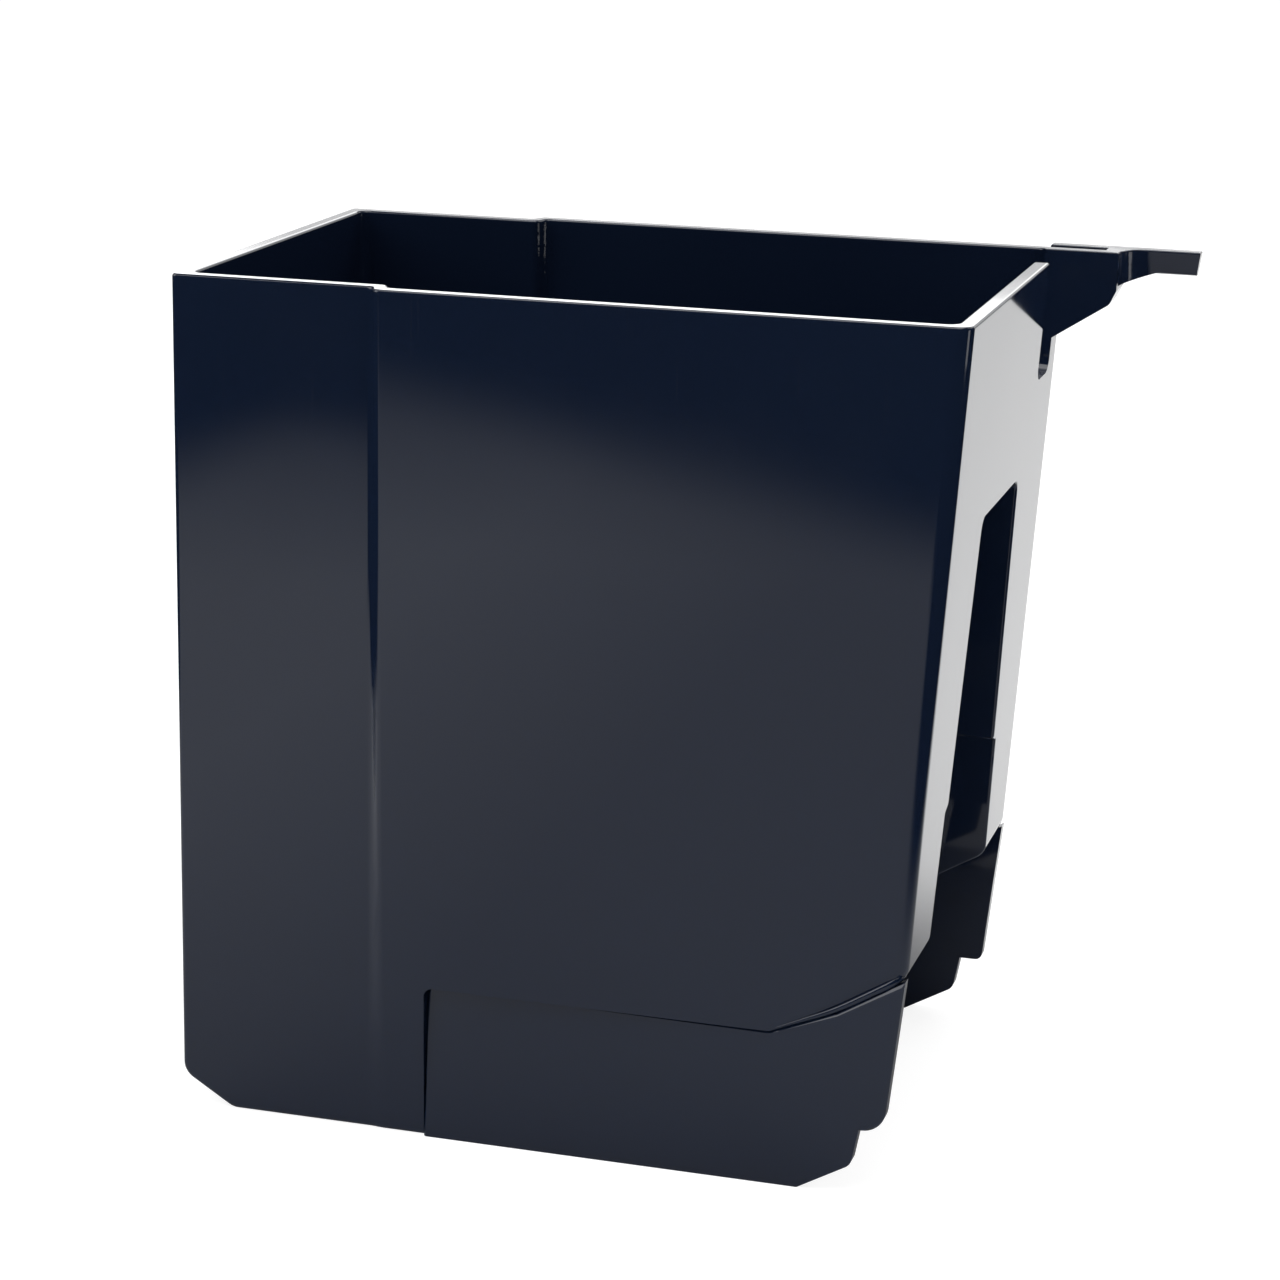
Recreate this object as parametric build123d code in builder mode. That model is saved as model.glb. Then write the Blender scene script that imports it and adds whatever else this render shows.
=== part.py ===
"""Open waste bin in gloss black plastic: a tub, a base skirt under its raised floor and a corner arm."""
import os
from math import cos, radians, sin, tan

from build123d import *

# Overall sizes in millimetres, outside, at the rim
rim_length = 140.0
rim_width = 92.0
rim_height = 152.0
wall = 2.8

# Arm and tab at the back right corner
arm_reach = 24.7
arm_length = 10.5
arm_proud = 0.8
arm_width = 8.4
arm_root_depth = 16.3
arm_end_depth = 9.6
arm_nose_run = 1.2
arm_nose_rise = 2.6
arm_nose_round = 1.5
saddle_depth = 3.0
channel_floor = 3.0
tab_height = 4.4
tab_root_height = 6.3
tab_root_run = 5.7
tab_scoop = 5.2
tab_tip_lean = 0.6
tab_face_lean = 8.0
tab_foot_round = 0.9

# Lean of the walls, in degrees from upright
end_lean = 3.5
skirt_lean = 6.0
side_draft = 0.25
left_draft = 0.0

# Vertical step where the left stretch of the tub narrows
step_place = 36.0
step_run = 3.0
step_depth = 2.8
step_depth_foot = 0.25
step_inner_shift = 0.6

# Deep well, raised floor and the seam over the base skirt
well_length = 46.7
seam_height = 28.0
rise_run = 23.5
rise_sag = 1.2
end_wall_foot = 39.8
foot_chamfer_length = 9.6
foot_chamfer_height = 5.8
foot_round = 3.5
seam_gap = 0.1
panel_round = 1.6

# Pocket in the leaning end wall, open at its foot, heights from the ground
pocket_depth = 8.5
pocket_taper = 3.0
pocket_top = 114.0
pocket_top_width = 33.0
pocket_step_height = 64.0
pocket_step_slope = 1.0
pocket_upper_width = 42.0
pocket_lower_width = 46.6
pocket_foot_height = 22.0
pocket_foot_width = 54.6
pocket_round = 2.4

# Notch in the end wall's rim beside the arm
notch_width = 11.6
notch_depth = 21.7
notch_round = 2.6

# Base skirt
skirt_wall = 2.8
skirt_inset = 2.0
skirt_inset_foot = -0.4
skirt_proud = 0.45
skirt_ramp_run = 9.4
skirt_ramp_rise = 5.4
skirt_ledge_run = 4.2
skirt_ledge_height = 11.9
skirt_heel_lean = 1.2
skirt_foot_round = 2.2
front_ledge_round = 4.2
back_ledge_round = 1.4
base_plate = 2.2

# Edge rounding and bevels
corner_round = 2.6
left_corner_round = 0.9
inner_round = 2.0
rim_round = 0.5
pocket_edge_round = 0.5
skirt_edge_bevel = 0.4
arm_edge_round = 0.3

# Places worked out from the sizes above
overall_length = rim_length + arm_reach
left = -overall_length / 2
right = left + rim_length
half_width = rim_width / 2
foot_half_width = half_width - rim_height * tan(radians(side_draft))
seam_half_width = half_width - (rim_height - seam_height) * tan(radians(side_draft))
arm_top = rim_height + arm_proud
web_front = half_width - arm_width
channel_front = web_front + wall
channel_back = half_width - wall
over = 10.0


def end_wall_x(height):
    """Place of the leaning end wall's outer face at a height."""
    return right - (rim_height - height) * tan(radians(end_lean))


def skirt_end_x(height):
    """Place of the base skirt's right edge at a height."""
    return end_wall_x(end_wall_foot) - (end_wall_foot - height) * tan(radians(skirt_lean))


def plan_lines(height, shrink):
    """Plan of the stepped front and back walls at a height, drawn in by a wall thickness."""
    share = height / rim_height
    wide = foot_half_width + (half_width - foot_half_width) * share - shrink
    thin = wide - step_depth_foot - (step_depth - step_depth_foot) * share
    step_left = left + step_place + step_inner_shift * shrink
    step_right = step_left + step_run
    Line((left - over, -thin), (step_left, -thin))
    Spline((step_left, -thin), (step_right, -wide), tangents=((1, 0), (1, 0)))
    Polyline((step_right, -wide), (right + over, -wide), (right + over, wide), (step_right, wide))
    Spline((step_right, wide), (step_left, thin), tangents=((-1, 0), (-1, 0)))
    Polyline((step_left, thin), (left - over, thin), (left - over, -thin))


# Side profile of the tub: left wall, chamfered foot, deep well, raised floor, rise and leaning end wall
left_foot = left + rim_height * tan(radians(left_draft))
rise_start = end_wall_x(end_wall_foot) - rise_run
rise_middle = (
    rise_start + rise_run / 2,
    (seam_height + end_wall_foot) / 2 - rise_sag,
)
tub_profile = [
    (left, rim_height),
    (left_foot, foot_chamfer_height),
    (left_foot + foot_chamfer_length, 0),
    (left + well_length, 0),
    (left + well_length, seam_height),
    (rise_start, seam_height),
    rise_middle,
    (end_wall_x(end_wall_foot), end_wall_foot),
    (right, rim_height),
]

# The end wall's outer face as a plane: across is +Y, up runs along the wall, the normal points out
end_plane = Plane(
    origin=(end_wall_x(0), 0, 0),
    x_dir=(0, 1, 0),
    z_dir=(cos(radians(end_lean)), 0, -sin(radians(end_lean))),
)
along_wall = 1 / cos(radians(end_lean))
pocket_outline = [
    (pocket_foot_width / 2, pocket_foot_height * along_wall),
    (pocket_lower_width / 2, (pocket_step_height - pocket_step_slope) * along_wall),
    (pocket_upper_width / 2, pocket_step_height * along_wall),
    (pocket_top_width / 2, pocket_top * along_wall),
    (-pocket_top_width / 2, pocket_top * along_wall),
    (-pocket_upper_width / 2, pocket_step_height * along_wall),
    (-pocket_lower_width / 2, (pocket_step_height - pocket_step_slope) * along_wall),
    (-pocket_foot_width / 2, pocket_foot_height * along_wall),
]

# Side profile of the arm and its tab, from the wall inside outwards
arm_foot = arm_top - arm_root_depth
arm_end = right + arm_length
arm_profile = [
    (right - wall, rim_height - saddle_depth),
    (right - wall, arm_foot),
    (end_wall_x(arm_foot), arm_foot),
    (arm_end - arm_nose_run, arm_top - arm_end_depth),
    (arm_end, arm_top - arm_end_depth + arm_nose_rise),
    (arm_end, arm_top - tab_root_height),
    (arm_end + tab_root_run, arm_top - tab_height),
    (right + arm_reach - tab_tip_lean, arm_top - tab_height),
    (right + arm_reach, arm_top),
    (right - wall, arm_top),
]
channel_profile = [
    (right - 2 * wall, arm_foot + channel_floor),
    (end_wall_x(arm_foot), arm_foot + channel_floor),
    (arm_end - wall, arm_top - arm_end_depth + channel_floor),
    (arm_end - wall, arm_top + over),
    (right - 2 * wall, arm_top + over),
]
panel_corner = Vector(left + well_length, 0, seam_height)


def arm_plan(height):
    """Plan of the arm at a height: the web, the scoop and the tab, whose front leans back below."""
    tab_front = channel_back + (arm_top - height) * tan(radians(tab_face_lean))
    scoop_middle = (
        arm_end + tab_scoop * (1 - cos(radians(45))),
        web_front + (tab_front - web_front) * sin(radians(45)),
    )
    web_line = Line((right - wall, web_front), (arm_end, web_front))
    scoop = ThreePointArc(web_line @ 1, scoop_middle, (arm_end + tab_scoop, tab_front))
    Polyline(
        scoop @ 1,
        (right + arm_reach, tab_front),
        (right + arm_reach, half_width),
        (right - wall, half_width),
        (right - wall, web_front),
    )


# Side outline of a skirt: flat foot, ramp, heel with a ledge, leaning right edge and the seam above
skirt_left = left + well_length + seam_gap
skirt_right = skirt_end_x(end_wall_foot)
heel_top = skirt_end_x(skirt_ledge_height) - skirt_ledge_run
heel_bottom = heel_top - skirt_heel_lean
skirt_outline = [
    (skirt_left, 0),
    (heel_bottom - skirt_ramp_run, 0),
    (heel_bottom, skirt_ramp_rise),
    (heel_top, skirt_ledge_height),
    (skirt_end_x(skirt_ledge_height), skirt_ledge_height),
    (skirt_end_x(end_wall_foot - seam_gap), end_wall_foot - seam_gap),
    (rise_middle[0], rise_middle[1] - seam_gap),
    (rise_start, seam_height - seam_gap),
    (skirt_left, seam_height - seam_gap),
]
heel_foot = Vector(heel_bottom, 0, skirt_ramp_rise)
skirt_corner = Vector(skirt_left, 0, seam_height - seam_gap)
heel_ledge = Vector(skirt_end_x(skirt_ledge_height), 0, skirt_ledge_height)


def skirt_plan(height, shrink):
    """Plan of the skirts' outer faces at a height, drawn in by a thickness: inset left, proud right."""
    share = height / seam_height
    left_y = seam_half_width - skirt_inset_foot - (skirt_inset - skirt_inset_foot) * share - shrink
    right_y = seam_half_width + skirt_proud - shrink
    return [
        (skirt_left, -left_y),
        (skirt_right, -right_y),
        (skirt_right, right_y),
        (skirt_left, left_y),
    ]


def on_pocket_mouth(edge):
    """Whether an edge lies on the end wall's face along the mouth of the pocket."""
    middle = edge @ 0.5
    on_face = abs(end_plane.to_local_coords(middle).Z) < pocket_edge_round / 10
    across = abs(middle.Y) < pocket_foot_width / 2 + pocket_edge_round
    upright = end_wall_foot + pocket_edge_round < middle.Z < pocket_top + pocket_edge_round
    return on_face and across and upright


# Pocket: the recess in the end wall, wider below a small step and open at its foot
with BuildPart() as pocket:
    with BuildSketch(end_plane) as pocket_face:
        with BuildLine():
            Polyline(*pocket_outline, close=True)
        make_face()
        fillet(pocket_face.vertices().group_by(Axis.Y)[-1], pocket_round)
    extrude(amount=-pocket_depth, taper=pocket_taper)

# Pocket with its wall around it, which stands into the tub
with BuildPart() as pocket_wall:
    with BuildSketch(end_plane) as pocket_wall_face:
        with BuildLine():
            Polyline(*pocket_outline, close=True)
        make_face()
        fillet(pocket_wall_face.vertices().group_by(Axis.Y)[-1], pocket_round)
        offset(amount=wall, kind=Kind.INTERSECTION)
    extrude(amount=-(pocket_depth + wall), taper=pocket_taper)

# Inside of the tub: the side profile drawn in by the wall, between the inner faces of the stepped walls
with BuildPart() as inside:
    with BuildSketch(Plane.XZ):
        with BuildSketch(Plane.XZ, mode=Mode.PRIVATE) as inner_profile:
            with BuildLine():
                Polyline(*tub_profile, close=True)
            make_face()
            offset(amount=-wall, kind=Kind.INTERSECTION)
        add(inner_profile.sketch)
    extrude(amount=rim_width, both=True)
    inner_top = inside.faces().sort_by(Axis.Z)[-1]
    extrude(inner_top, amount=wall + over)
    with BuildSketch(Plane.XY):
        with BuildLine():
            plan_lines(0, wall)
        make_face()
    with BuildSketch(Plane.XY.offset(rim_height + over)):
        with BuildLine():
            plan_lines(rim_height + over, wall)
        make_face()
    loft(ruled=True, mode=Mode.INTERSECT)
    inner_upright = inside.edges().filter_by(lambda edge: edge.bounding_box().size.Z > rim_height / 2)
    inner_ends = inner_upright.sort_by(Axis.X)
    fillet(inner_ends[:2] + inner_ends[-2:], inner_round)
    add(pocket_wall.part, mode=Mode.SUBTRACT)

# Tub: the outer shell around that inside, with the pocket, the rim notch and the arm's channel cut from it
with BuildPart() as tub:
    with BuildSketch(Plane.XZ) as outer_profile:
        with BuildLine():
            Polyline(*tub_profile, close=True)
        make_face()
        foot_corners = outer_profile.vertices().sort_by(Axis.X)[:3].sort_by(Axis.Y)[:2]
        end_foot = outer_profile.vertices().sort_by(Axis.X)[-2:].sort_by(Axis.Y)[:1]
        fillet(foot_corners + end_foot, foot_round)
    extrude(amount=rim_width, both=True)
    fillet(tub.edges().filter_by(Axis.Y).sort_by_distance(panel_corner)[0], panel_round)
    with BuildSketch(Plane.XY):
        with BuildLine():
            plan_lines(0, 0)
        make_face()
    with BuildSketch(Plane.XY.offset(rim_height)):
        with BuildLine():
            plan_lines(rim_height, 0)
        make_face()
    loft(ruled=True, mode=Mode.INTERSECT)
    upright = tub.edges().filter_by(lambda edge: edge.bounding_box().size.Z > rim_height / 2)
    fillet(upright.filter_by(lambda edge: edge.center().X > right - 2 * over), corner_round)
    upright = tub.edges().filter_by(lambda edge: edge.bounding_box().size.Z > rim_height / 2)
    fillet(upright.filter_by(lambda edge: edge.center().X < left + over), left_corner_round)
    add(inside.part, mode=Mode.SUBTRACT)
    fillet(tub.faces().sort_by(Axis.Z)[-1].edges(), rim_round)
    add(pocket.part, mode=Mode.SUBTRACT)
    fillet(tub.edges().filter_by(on_pocket_mouth), pocket_edge_round)
    with BuildSketch(end_plane) as notch_face:
        with Locations((web_front - notch_width, (rim_height - notch_depth) * along_wall)):
            Rectangle(notch_width, notch_depth + over, align=Align.MIN)
        fillet(notch_face.vertices().group_by(Axis.Y)[0], notch_round)
    extrude(amount=-2 * wall, mode=Mode.SUBTRACT)
    with BuildSketch(Plane.XZ.offset(-channel_front)):
        with BuildLine():
            Polyline(*channel_profile, close=True)
        make_face()
    extrude(amount=-(channel_back - channel_front), mode=Mode.SUBTRACT)
    with Locations((right - wall, web_front, rim_height - saddle_depth)):
        Box(over, over, over, align=Align.MIN, mode=Mode.SUBTRACT)

tub.part.label = "bin_tub"

# Arm: a channelled bracket on the corner of the end wall that ends in a flat tab level with the back wall
with BuildPart() as arm:
    with BuildSketch(Plane.XZ.offset(-web_front)) as arm_side:
        with BuildLine():
            Polyline(*arm_profile, close=True)
        make_face()
        fillet(arm_side.vertices().sort_by_distance(arm_profile[3])[0], arm_nose_round)
    extrude(amount=-arm_width)
    with BuildSketch(Plane.XY.offset(arm_foot)):
        with BuildLine():
            arm_plan(arm_foot)
        make_face()
    with BuildSketch(Plane.XY.offset(arm_top)):
        with BuildLine():
            arm_plan(arm_top)
        make_face()
    loft(ruled=True, mode=Mode.INTERSECT)
    with BuildSketch(Plane.XZ.offset(-channel_front)):
        with BuildLine():
            Polyline(*channel_profile, close=True)
        make_face()
    extrude(amount=-(channel_back - channel_front), mode=Mode.SUBTRACT)
    along_arm = arm.edges().filter_by(Axis.X)
    tab_edges = along_arm.filter_by_position(Axis.X, arm_end + tab_scoop, right + arm_reach)
    fillet(tab_edges.group_by(Axis.Z)[0].sort_by(Axis.Y)[0], tab_foot_round)
    add(tub.part, mode=Mode.SUBTRACT)
    fillet(arm.faces().sort_by(Axis.Z)[-1].edges(), arm_edge_round)

arm.part.label = "corner_arm"

# Base skirt: two side skirts with stepped heels, joined by a plate under the raised floor
with BuildPart() as base:
    with BuildSketch(Plane.XZ):
        with BuildLine():
            Polyline(*skirt_outline, close=True)
        make_face()
    extrude(amount=rim_width)
    cross_edges = base.edges().filter_by(Axis.Y)
    fillet(cross_edges.sort_by_distance(heel_ledge)[0], front_ledge_round)
    with BuildSketch(Plane.XZ):
        with BuildLine():
            Polyline(*skirt_outline, close=True)
        make_face()
    extrude(amount=-rim_width)
    cross_edges = base.edges().filter_by(Axis.Y)
    fillet(cross_edges.sort_by_distance(heel_ledge)[0], back_ledge_round)
    cross_edges = base.edges().filter_by(Axis.Y)
    fillet(cross_edges.sort_by_distance(heel_foot)[0], skirt_foot_round)
    cross_edges = base.edges().filter_by(Axis.Y)
    fillet(cross_edges.sort_by_distance(skirt_corner)[0], panel_round - seam_gap)
    with BuildSketch(Plane.XY):
        with BuildLine():
            Polyline(*skirt_plan(0, 0), close=True)
        make_face()
    with BuildSketch(Plane.XY.offset(end_wall_foot)):
        with BuildLine():
            Polyline(*skirt_plan(end_wall_foot, 0), close=True)
        make_face()
    loft(ruled=True, mode=Mode.INTERSECT)
    with BuildSketch(Plane.XY):
        with BuildLine():
            Polyline(*skirt_plan(0, skirt_wall), close=True)
        make_face()
    with BuildSketch(Plane.XY.offset(end_wall_foot)):
        with BuildLine():
            Polyline(*skirt_plan(end_wall_foot, skirt_wall), close=True)
        make_face()
    loft(ruled=True, mode=Mode.SUBTRACT)
    with Locations((skirt_left + panel_round, 0, seam_height - seam_gap)):
        Box(
            rise_start - skirt_left - panel_round,
            2 * (seam_half_width - skirt_inset - skirt_wall / 2),
            base_plate,
            align=(Align.MIN, Align.CENTER, Align.MAX),
        )
    outer_edges = base.faces().sort_by(Axis.Y)[0].edges() + base.faces().sort_by(Axis.Y)[-1].edges()
    chamfer(outer_edges.filter_by(lambda edge: edge.center().Z > seam_height - wall), skirt_edge_bevel)

base.part.label = "base_skirt"

# One file for each piece
os.makedirs("parts", exist_ok=True)
export_step(tub.part, "parts/bin_tub.step")
export_step(arm.part, "parts/corner_arm.step")
export_step(base.part, "parts/base_skirt.step")
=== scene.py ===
import math

import bpy
from mathutils import Matrix, Vector


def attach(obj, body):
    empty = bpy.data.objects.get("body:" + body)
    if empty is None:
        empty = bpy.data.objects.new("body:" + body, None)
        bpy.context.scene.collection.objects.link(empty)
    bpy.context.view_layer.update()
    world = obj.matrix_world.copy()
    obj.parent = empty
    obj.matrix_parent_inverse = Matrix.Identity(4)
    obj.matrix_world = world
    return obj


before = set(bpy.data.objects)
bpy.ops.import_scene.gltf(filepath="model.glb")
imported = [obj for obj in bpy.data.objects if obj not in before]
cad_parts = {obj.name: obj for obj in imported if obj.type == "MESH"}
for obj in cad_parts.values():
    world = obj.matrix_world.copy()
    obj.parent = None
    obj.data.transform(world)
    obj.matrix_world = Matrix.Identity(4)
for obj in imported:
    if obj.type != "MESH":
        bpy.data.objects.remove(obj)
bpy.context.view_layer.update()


# Bin tub

# One injection moulding, a deep well beside a raised floor, open at the top.
# It is black ABS from a polished mould, so it comes out of the tool with a
# mirror gloss and needs no paint or lacquer.


def linear(code):
    """An sRGB hex colour as the linear colour that a shader takes."""
    parts = [int(code[start:start + 2], 16) / 255 for start in (1, 3, 5)]
    return [c / 12.92 if c <= 0.04045 else ((c + 0.055) / 1.055) ** 2.4 for c in parts] + [1.0]


def add(tree, kind, sockets=None, **settings):
    """One node with its settings, and a value or a link for each socket that is named."""
    node = tree.nodes.new(kind)
    for name, value in settings.items():
        setattr(node, name, value)
    for socket, value in (sockets or {}).items():
        if isinstance(value, bpy.types.NodeSocket):
            tree.links.new(value, node.inputs[socket])
        else:
            node.inputs[socket].default_value = value
    return node


# Polished ABS: blue-black in the body, with a sharp clear reflection on top.
# The eye sees the room in it, bent a little where the wall sank as it cooled,
# and dulled here and there by hands, hairlines and a little dust.
gloss_abs = bpy.data.materials.new("gloss_black_abs")
gloss_abs.use_nodes = True
tree = gloss_abs.node_tree
shell = tree.nodes["Principled BSDF"]
shell.inputs["IOR"].default_value = 1.53
shell.inputs["Coat Weight"].default_value = 0.3
shell.inputs["Coat Roughness"].default_value = 0.03
place = add(tree, "ShaderNodeTexCoord").outputs["Object"]
height = add(tree, "ShaderNodeSeparateXYZ", {0: place}).outputs["Z"]
normal = add(tree, "ShaderNodeNewGeometry").outputs["Normal"]
facing = add(tree, "ShaderNodeSeparateXYZ", {0: normal}).outputs["Z"]

# The pigment drifts along the melt's flow, in clouds some 60 mm across. On a
# Mix node for colour, sockets 6 and 7 are the two colours and output 2 the result.
cloud_size = 0.060
cloud = add(
    tree,
    "ShaderNodeTexNoise",
    {"Vector": place, "Scale": 1 / cloud_size, "Detail": 2.0},
).outputs["Fac"]
pigment = add(
    tree,
    "ShaderNodeMix",
    {0: cloud, 6: linear("#0F1728"), 7: linear("#121C2E")},
    data_type="RGBA",
).outputs[2]

# dust lies on what faces up: one speck in each 7 mm, solid at its core and
# gone at its rim, so about 0.4 mm across
speck_spacing = 0.007
speck_core = 0.00014
speck_rim = 0.000245
from_speck = add(
    tree,
    "ShaderNodeTexVoronoi",
    {"Vector": place, "Scale": 1 / speck_spacing},
).outputs["Distance"]
speck = add(
    tree,
    "ShaderNodeMapRange",
    {
        "Value": from_speck,
        "From Min": speck_core / speck_spacing,
        "From Max": speck_rim / speck_spacing,
        "To Min": 1.0,
        "To Max": 0.0,
    },
).outputs["Result"]
upward = add(
    tree,
    "ShaderNodeMapRange",
    {"Value": facing, "From Min": 0.6, "From Max": 0.9},
).outputs["Result"]
dust = add(tree, "ShaderNodeMath", {0: speck, 1: upward}, operation="MULTIPLY").outputs[0]
dusted = add(
    tree,
    "ShaderNodeMix",
    {0: dust, 6: pigment, 7: linear("#5A5E66")},
    data_type="RGBA",
).outputs[2]
tree.links.new(dusted, shell.inputs["Base Color"])

# smudges from hands, some 40 mm across, take the gloss from clear to hazy
smudge_size = 0.040
clear_roughness = 0.05
smudged_roughness = 0.11
touched = add(
    tree,
    "ShaderNodeTexNoise",
    {"Vector": place, "Scale": 1 / smudge_size, "Detail": 4.0},
).outputs["Fac"]
smudge = add(
    tree,
    "ShaderNodeMapRange",
    {
        "Value": touched,
        "From Min": 0.45,
        "From Max": 0.75,
        "To Min": clear_roughness,
        "To Max": smudged_roughness,
    },
).outputs["Result"]

# upright hairlines from the walls of the bay, drawn 0.6 mm wide so that they show
hairline_width = 0.0006
hairline_length = 0.030
hairline_roughness = 0.06
upright = add(
    tree,
    "ShaderNodeMapping",
    {"Vector": place, "Scale": (1 / hairline_width, 1 / hairline_width, 1 / hairline_length)},
).outputs[0]
scratched = add(tree, "ShaderNodeTexNoise", {"Vector": upright, "Scale": 1.0, "Detail": 1.0}).outputs["Fac"]
hairline = add(
    tree,
    "ShaderNodeMapRange",
    {"Value": scratched, "From Min": 0.70, "From Max": 0.80, "To Min": 0.0, "To Max": hairline_roughness},
).outputs["Result"]

# both add to the roughness, and a speck of dust is dull by itself
dust_roughness = 0.5
handled = add(tree, "ShaderNodeMath", {0: smudge, 1: hairline}, operation="ADD").outputs[0]
dull = add(
    tree,
    "ShaderNodeMath",
    {0: dust, 1: dust_roughness, 2: handled},
    operation="MULTIPLY_ADD",
).outputs[0]
tree.links.new(dull, shell.inputs["Roughness"])

# sink: the walls wave by some 0.05 mm over 35 mm
sink_length = 0.035
sink_depth = 0.00005
sink = add(
    tree,
    "ShaderNodeTexNoise",
    {"Vector": place, "Scale": 1 / sink_length, "Detail": 0.0},
).outputs["Fac"]
waved = add(
    tree,
    "ShaderNodeBump",
    {"Height": sink, "Strength": 1.0, "Distance": sink_depth},
).outputs["Normal"]

# ejector pins leave rings 8 mm across on the inside floors, the same in all
# four quarters of the plan, and only below the height that clears both floors
pin_places = ((0.010, 0.025, 0.0), (0.060, 0.025, 0.0))
pin_radius = 0.004
ring_core = 0.0001
ring_rim = 0.0004
ring_depth = 0.0001
clear_of_floors = 0.035
cut_off = 0.001
plan = add(tree, "ShaderNodeVectorMath", {0: place, 1: (1.0, 1.0, 0.0)}, operation="MULTIPLY").outputs[0]
quarter = add(tree, "ShaderNodeVectorMath", {0: plan}, operation="ABSOLUTE").outputs[0]
rings = 0.0
for pin in pin_places:
    from_pin = add(tree, "ShaderNodeVectorMath", {0: quarter, 1: pin}, operation="DISTANCE").outputs["Value"]
    past_ring = add(tree, "ShaderNodeMath", {0: from_pin, 1: pin_radius}, operation="SUBTRACT").outputs[0]
    from_ring = add(tree, "ShaderNodeMath", {0: past_ring}, operation="ABSOLUTE").outputs[0]
    ring = add(
        tree,
        "ShaderNodeMapRange",
        {"Value": from_ring, "From Min": ring_core, "From Max": ring_rim, "To Min": 1.0, "To Max": 0.0},
    ).outputs["Result"]
    rings = add(tree, "ShaderNodeMath", {0: ring, 1: rings}, operation="MAXIMUM").outputs[0]
low_down = add(
    tree,
    "ShaderNodeMapRange",
    {
        "Value": height,
        "From Min": clear_of_floors,
        "From Max": clear_of_floors + cut_off,
        "To Min": 1.0,
        "To Max": 0.0,
    },
).outputs["Result"]
rings = add(tree, "ShaderNodeMath", {0: rings, 1: low_down}, operation="MULTIPLY").outputs[0]
rings = add(tree, "ShaderNodeMath", {0: rings, 1: upward}, operation="MULTIPLY").outputs[0]
relief = add(
    tree,
    "ShaderNodeBump",
    {"Height": rings, "Strength": 0.6, "Distance": ring_depth, "Normal": waved},
    invert=True,
).outputs["Normal"]
tree.links.new(relief, shell.inputs["Normal"])
tree.links.new(relief, shell.inputs["Coat Normal"])

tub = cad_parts["bin_tub"]
tub.data.materials.clear()
tub.data.materials.append(gloss_abs)


# Base skirt

# A second moulding under the raised floor: two side skirts with stepped heels
# and a plate between them, in the same ABS, welded to the tub along the seam.

# It slides on its foot, so the last few millimetres are scuffed along the
# way it slides and catch the light as a dull band. The scuffs are drawn
# 0.6 mm wide so that they show.
scuff_full = 0.0005
scuff_gone = 0.004
scuff_length = 0.020
scuff_width = 0.0006
scuff_roughness = 0.3
skirt_abs = gloss_abs.copy()
skirt_abs.name = "gloss_black_abs_scuffed"
tree = skirt_abs.node_tree
shell = tree.nodes["Principled BSDF"]
place = add(tree, "ShaderNodeTexCoord").outputs["Object"]
height = add(tree, "ShaderNodeSeparateXYZ", {0: place}).outputs["Z"]
foot = add(
    tree,
    "ShaderNodeMapRange",
    {"Value": height, "From Min": scuff_full, "From Max": scuff_gone, "To Min": 1.0, "To Max": 0.0},
).outputs["Result"]
lengthwise = add(
    tree,
    "ShaderNodeMapping",
    {"Vector": place, "Scale": (1 / scuff_length, 1 / scuff_width, 1 / scuff_width)},
).outputs[0]
scraped = add(tree, "ShaderNodeTexNoise", {"Vector": lengthwise, "Scale": 1.0, "Detail": 2.0}).outputs["Fac"]
scuff = add(tree, "ShaderNodeMath", {0: scraped, 1: foot}, operation="MULTIPLY").outputs[0]
unscuffed = shell.inputs["Roughness"].links[0].from_socket
dull = add(
    tree,
    "ShaderNodeMath",
    {0: scuff, 1: scuff_roughness, 2: unscuffed},
    operation="MULTIPLY_ADD",
).outputs[0]
tree.links.new(dull, shell.inputs["Roughness"])

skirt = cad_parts["base_skirt"]
skirt.data.materials.clear()
skirt.data.materials.append(skirt_abs)


# Weld beads

# Where the seam rises to the end wall, the tub's lower edge is rounded, and
# the melt of the weld fills the groove above the skirt. One bead at the front
# and one at the back, thin at first and fuller towards the corner.

# Remelted ABS: as glossy as the rest, with ripples 2 mm long where it froze,
# so the bead shows as a thin broken line of light.
ripple_length = 0.002
ripple_depth = 0.0001
bead_abs = gloss_abs.copy()
bead_abs.name = "gloss_black_abs_weld"
tree = bead_abs.node_tree
shell = tree.nodes["Principled BSDF"]
place = add(tree, "ShaderNodeTexCoord").outputs["Object"]
ripple = add(
    tree,
    "ShaderNodeTexNoise",
    {"Vector": place, "Scale": 1 / ripple_length, "Detail": 1.0},
).outputs["Fac"]
rippled = add(
    tree,
    "ShaderNodeBump",
    {"Height": ripple, "Strength": 0.5, "Distance": ripple_depth},
).outputs["Normal"]
tree.links.new(rippled, shell.inputs["Normal"])
tree.links.new(rippled, shell.inputs["Coat Normal"])

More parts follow.
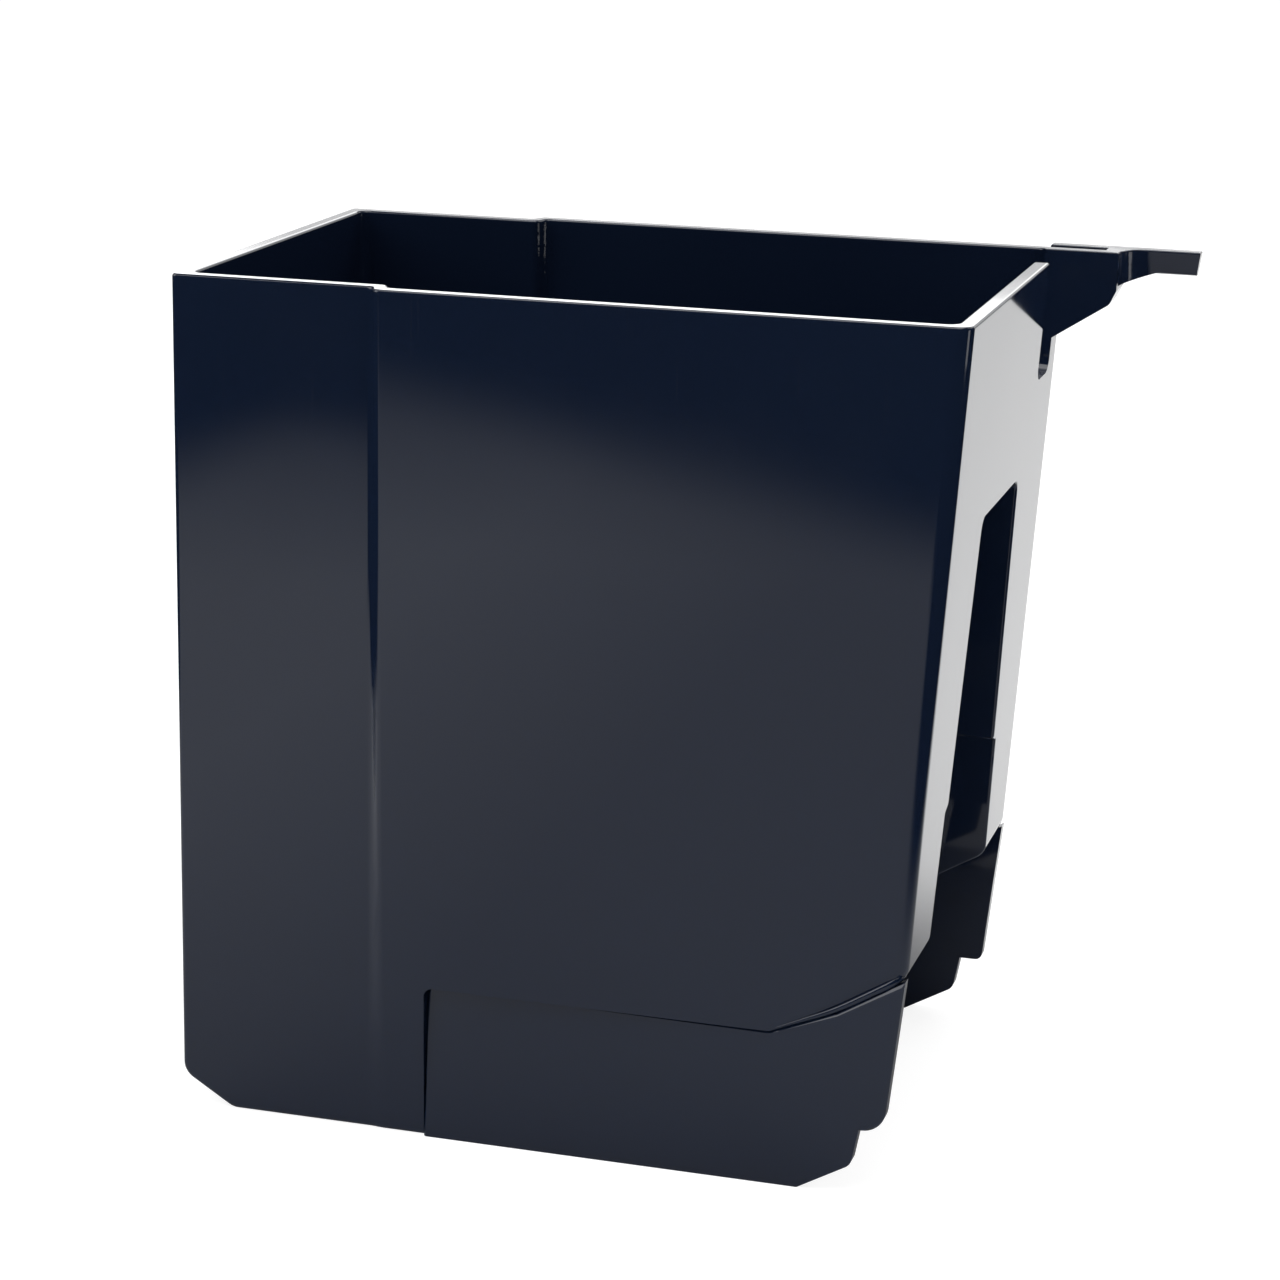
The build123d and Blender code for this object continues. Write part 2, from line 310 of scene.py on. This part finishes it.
# along the rise and round the corner, in millimetres: place, distance from the
# middle plane, height, and the bead's own radius
bead_route = (
    (28.5, 45.38, 28.75, 0.12),
    (33.0, 45.14, 30.65, 0.38),
    (39.0, 44.95, 33.25, 0.58),
    (45.0, 44.92, 36.98, 0.70),
    (48.1, 44.92, 38.88, 0.75),
    (49.6, 44.40, 40.00, 0.72),
    (50.15, 43.10, 40.70, 0.45),
)
for name, side in (("weld_bead_front", -1), ("weld_bead_back", 1)):
    bpy.ops.object.select_all(action="DESELECT")
    bpy.ops.curve.primitive_nurbs_path_add(location=(0, 0, 0))
    bead = bpy.context.object
    bead.name = name
    line = bead.data.splines[0]
    line.points.add(len(bead_route) - len(line.points))
    for point, (x, y, z, radius) in zip(line.points, bead_route):
        point.co = (x / 1000, side * y / 1000, z / 1000, 1.0)
        point.radius = radius
    line.order_u = 3
    line.use_endpoint_u = True
    bead.data.dimensions = "3D"
    bead.data.resolution_u = 8
    # one millimetre, which each point's radius multiplies
    bead.data.bevel_depth = 0.001
    bead.data.bevel_resolution = 3
    bead.data.use_fill_caps = True
    bpy.ops.object.convert(target="MESH")
    bead = bpy.context.object
    bpy.ops.object.shade_smooth()
    bead.data.materials.clear()
    bead.data.materials.append(bead_abs)
    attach(bead, "root")


# Corner arm

# A channelled bracket at the back corner of the rim that ends in a finger
# tab. It is a moulding in the same ABS, welded to the tub's corner.

# Fingers press the tab, so its gloss is broken by prints some 5 mm across.
print_size = 0.005
print_roughness = 0.12
arm_abs = gloss_abs.copy()
arm_abs.name = "gloss_black_abs_handled"
tree = arm_abs.node_tree
shell = tree.nodes["Principled BSDF"]
place = add(tree, "ShaderNodeTexCoord").outputs["Object"]
pressed = add(
    tree,
    "ShaderNodeTexNoise",
    {"Vector": place, "Scale": 1 / print_size, "Detail": 3.0},
).outputs["Fac"]
prints = add(
    tree,
    "ShaderNodeMapRange",
    {"Value": pressed, "From Min": 0.4, "From Max": 0.7, "To Min": 0.0, "To Max": print_roughness},
).outputs["Result"]
unpressed = shell.inputs["Roughness"].links[0].from_socket
dull = add(tree, "ShaderNodeMath", {0: prints, 1: unpressed}, operation="ADD").outputs[0]
tree.links.new(dull, shell.inputs["Roughness"])

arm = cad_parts["corner_arm"]
arm.data.materials.clear()
arm.data.materials.append(arm_abs)


# Studio floor

# A white sheet on a table, with a slanted front edge and a left and a right edge. The gloss walls mirror it
# up to those edges, and beyond them the floor is painted black, painted shade that stands for the dark room.
bpy.ops.object.select_all(action="DESELECT")
bpy.ops.mesh.primitive_plane_add(size=8.0, location=(0, 0, 0))
floor = bpy.context.object
floor.name = "studio_floor"
sheet = bpy.data.materials.new("white_paper_sheet")
sheet.use_nodes = True
tree = sheet.node_tree
tree.nodes.clear()
floor_ray = add(tree, "ShaderNodeLightPath")
spot = add(tree, "ShaderNodeTexCoord").outputs["Object"]
along = add(tree, "ShaderNodeSeparateXYZ", {0: spot})

# painted half shade: in front of the bin and under it, the colour that the gloss mirrors is painted darker,
# most of all at the right, and behind the bin the sheet is white
painted_shade_left = 0.47
painted_shade_right = 0.32
white_behind = 0.92
painted_half_shade = add(
    tree,
    "ShaderNodeMapRange",
    {
        "Value": along.outputs["X"],
        "From Min": -0.17,
        "From Max": -0.06,
        "To Min": painted_shade_left,
        "To Max": painted_shade_right,
    },
).outputs["Result"]
to_back = add(
    tree,
    "ShaderNodeMapRange",
    {"Value": along.outputs["Y"], "From Min": 0.05, "From Max": 0.13, "To Min": 0.0, "To Max": 1.0},
    interpolation_type="SMOOTHSTEP",
).outputs["Result"]
painted_shade_level = add(
    tree,
    "ShaderNodeMix",
    {"Factor": to_back, "A": painted_half_shade, "B": white_behind},
).outputs["Result"]

# painted fall-off: the mirrored colour is painted darker towards the viewer, for the distance from the lamps
painted_falloff = add(
    tree,
    "ShaderNodeMapRange",
    {"Value": along.outputs["Y"], "From Min": -0.82, "From Max": -0.45, "To Min": 0.05, "To Max": 1.0},
).outputs["Result"]
painted_shade_mask = add(tree, "ShaderNodeMath", {0: painted_shade_level, 1: painted_falloff}, operation="MULTIPLY").outputs[0]

# front, left and right edge: the way it faces, and the distances from the origin that way at which the white
# starts to fall off and has gone to painted black
sheet_edges = (
    ((0.578, -0.816, 0.0), 0.345, 0.445),
    ((-1.0, 0.0, 0.0), 0.29, 0.37),
    ((0.98, -0.196, 0.0), 0.14, 0.22),
)
for way, start, end in sheet_edges:
    reach = add(tree, "ShaderNodeVectorMath", {0: spot, 1: way}, operation="DOT_PRODUCT").outputs["Value"]
    inside = add(
        tree,
        "ShaderNodeMapRange",
        {"Value": reach, "From Min": start, "From Max": end, "To Min": 1.0, "To Max": 0.0},
        interpolation_type="SMOOTHSTEP",
    ).outputs["Result"]
    painted_shade_mask = add(tree, "ShaderNodeMath", {0: painted_shade_mask, 1: inside}, operation="MULTIPLY").outputs[0]
# the gloss mirrors this diffuse colour, which carries the painted half shade, the painted fall-off and the
# painted black beyond the edges
mirrored = add(tree, "ShaderNodeBsdfDiffuse", {"Color": painted_shade_mask}).outputs[0]

# seen straight, the sheet is as white as the backdrop and keeps a faint shadow,
# and to the light that it throws back it is plain paper
paper = add(tree, "ShaderNodeBsdfDiffuse", {"Color": linear("#F4F4F4")}).outputs[0]
glow = add(tree, "ShaderNodeEmission", {"Color": linear("#FFFFFF"), "Strength": 0.86}).outputs[0]
faint = add(tree, "ShaderNodeBsdfDiffuse", {"Color": (0.30, 0.30, 0.30, 1.0)}).outputs[0]
seen = add(tree, "ShaderNodeAddShader", {0: glow, 1: faint}).outputs[0]
unseen = add(
    tree,
    "ShaderNodeMixShader",
    {0: floor_ray.outputs["Is Glossy Ray"], 1: paper, 2: mirrored},
).outputs[0]
surface = add(
    tree,
    "ShaderNodeMixShader",
    {0: floor_ray.outputs["Is Camera Ray"], 1: unseen, 2: seen},
).outputs[0]
add(tree, "ShaderNodeOutputMaterial", {"Surface": surface})
floor.data.materials.append(sheet)


# Studio light

# A white backdrop behind and a dark room elsewhere, as the gloss mirrors them,
# and soft rectangular lamps: a large one overhead and smaller ones behind and
# at the sides, which the rim and the edges mirror.
world = bpy.data.worlds.new("studio")
bpy.context.scene.world = world
world.use_nodes = True
tree = world.node_tree
tree.nodes.clear()
world_ray = add(tree, "ShaderNodeLightPath")
outward = add(tree, "ShaderNodeTexCoord").outputs["Generated"]
backward = add(tree, "ShaderNodeSeparateXYZ", {0: outward}).outputs["Y"]
behind = add(
    tree,
    "ShaderNodeMapRange",
    {"Value": backward, "From Min": 0.75, "From Max": 0.90, "To Min": 0.0, "To Max": 1.0},
    interpolation_type="SMOOTHSTEP",
).outputs["Result"]
room = add(tree, "ShaderNodeBackground", {"Color": linear("#FFFFFF"), "Strength": behind}).outputs[0]
soft = add(tree, "ShaderNodeBackground", {"Color": linear("#FFFFFF"), "Strength": 0.5}).outputs[0]
white = add(tree, "ShaderNodeBackground", {"Color": linear("#FFFFFF"), "Strength": 1.0}).outputs[0]
around = add(
    tree,
    "ShaderNodeMixShader",
    {0: world_ray.outputs["Is Glossy Ray"], 1: soft, 2: room},
).outputs[0]
backdrop = add(
    tree,
    "ShaderNodeMixShader",
    {0: world_ray.outputs["Is Camera Ray"], 1: around, 2: white},
).outputs[0]
add(tree, "ShaderNodeOutputWorld", {"Surface": backdrop})


def softbox(name, stand, turn, width, height, watts):
    """A rectangular lamp that shines along its own -Z and is hidden from the camera."""
    bpy.ops.object.light_add(type="AREA", location=stand, rotation=turn)
    lamp = bpy.context.object
    lamp.name = name
    lamp.data.shape = "RECTANGLE"
    lamp.data.size = width
    lamp.data.size_y = height
    lamp.data.energy = watts
    lamp.visible_camera = False


def towards_bin(stand):
    """The turn that aims a lamp at the bin's foot, the origin of the frame."""
    return (-Vector(stand)).to_track_quat("-Z", "Y").to_euler()


straight_down = (0, 0, 0)
to_the_front = (math.radians(-90), 0, 0)
to_the_left = (0, math.radians(90), 0)

# the main light
softbox("overhead_softbox", (0.0, -0.2, 1.6), straight_down, width=1.2, height=1.5, watts=15.0)

# a low panel behind, which the flat of the rim mirrors
softbox("back_panel", (-0.45, 1.4, 0.62), to_the_front, width=1.0, height=0.46, watts=3.0)

# a soft lamp at the left, which the slanted edges along the rise mirror
left_stand = (-1.1, -0.42, 1.0)
softbox("left_softbox", left_stand, towards_bin(left_stand), width=1.4, height=1.2, watts=11.0)

# a fill lamp behind at the right, which lightens the shadow that the end wall mirrors
fill_stand = (0.7, 0.9, 1.2)
softbox("back_fill", fill_stand, towards_bin(fill_stand), width=0.8, height=0.8, watts=4.0)

# a small card at the right, for the hollow beside the tab
softbox("right_card", (0.6, -0.04, 0.10), to_the_left, width=0.20, height=0.16, watts=0.15)


# Camera

# At the photograph's place, a little above the rim and to the right. Place,
# angles and focal length were fitted to the bin's corners in the photograph,
# which is 1280 pixels wide.
photo_width = 1280
focal_length_in_pixels = 3378.8
sensor_width = 36.0
camera_turn = math.radians(16.223)
camera_rise = math.radians(15.269)
camera_roll = math.radians(0.937)
bpy.ops.object.camera_add(location=(0.156398, -0.572159, 0.245116))
camera = bpy.context.object
to_viewer = Vector((
    math.sin(camera_turn) * math.cos(camera_rise),
    -math.cos(camera_turn) * math.cos(camera_rise),
    math.sin(camera_rise),
))
level_right = Vector((math.cos(camera_turn), math.sin(camera_turn), 0.0))
level_up = to_viewer.cross(level_right)
picture_right = math.cos(camera_roll) * level_right + math.sin(camera_roll) * level_up
picture_up = -math.sin(camera_roll) * level_right + math.cos(camera_roll) * level_up
camera.rotation_mode = "QUATERNION"
camera.rotation_quaternion = Matrix((picture_right, picture_up, to_viewer)).transposed().to_quaternion()
camera.data.sensor_width = sensor_width
camera.data.lens = sensor_width * focal_length_in_pixels / photo_width
camera.data.clip_start = 0.01
camera.data.clip_end = 50.0
bpy.context.scene.camera = camera
bpy.context.scene.view_settings.view_transform = "Standard"
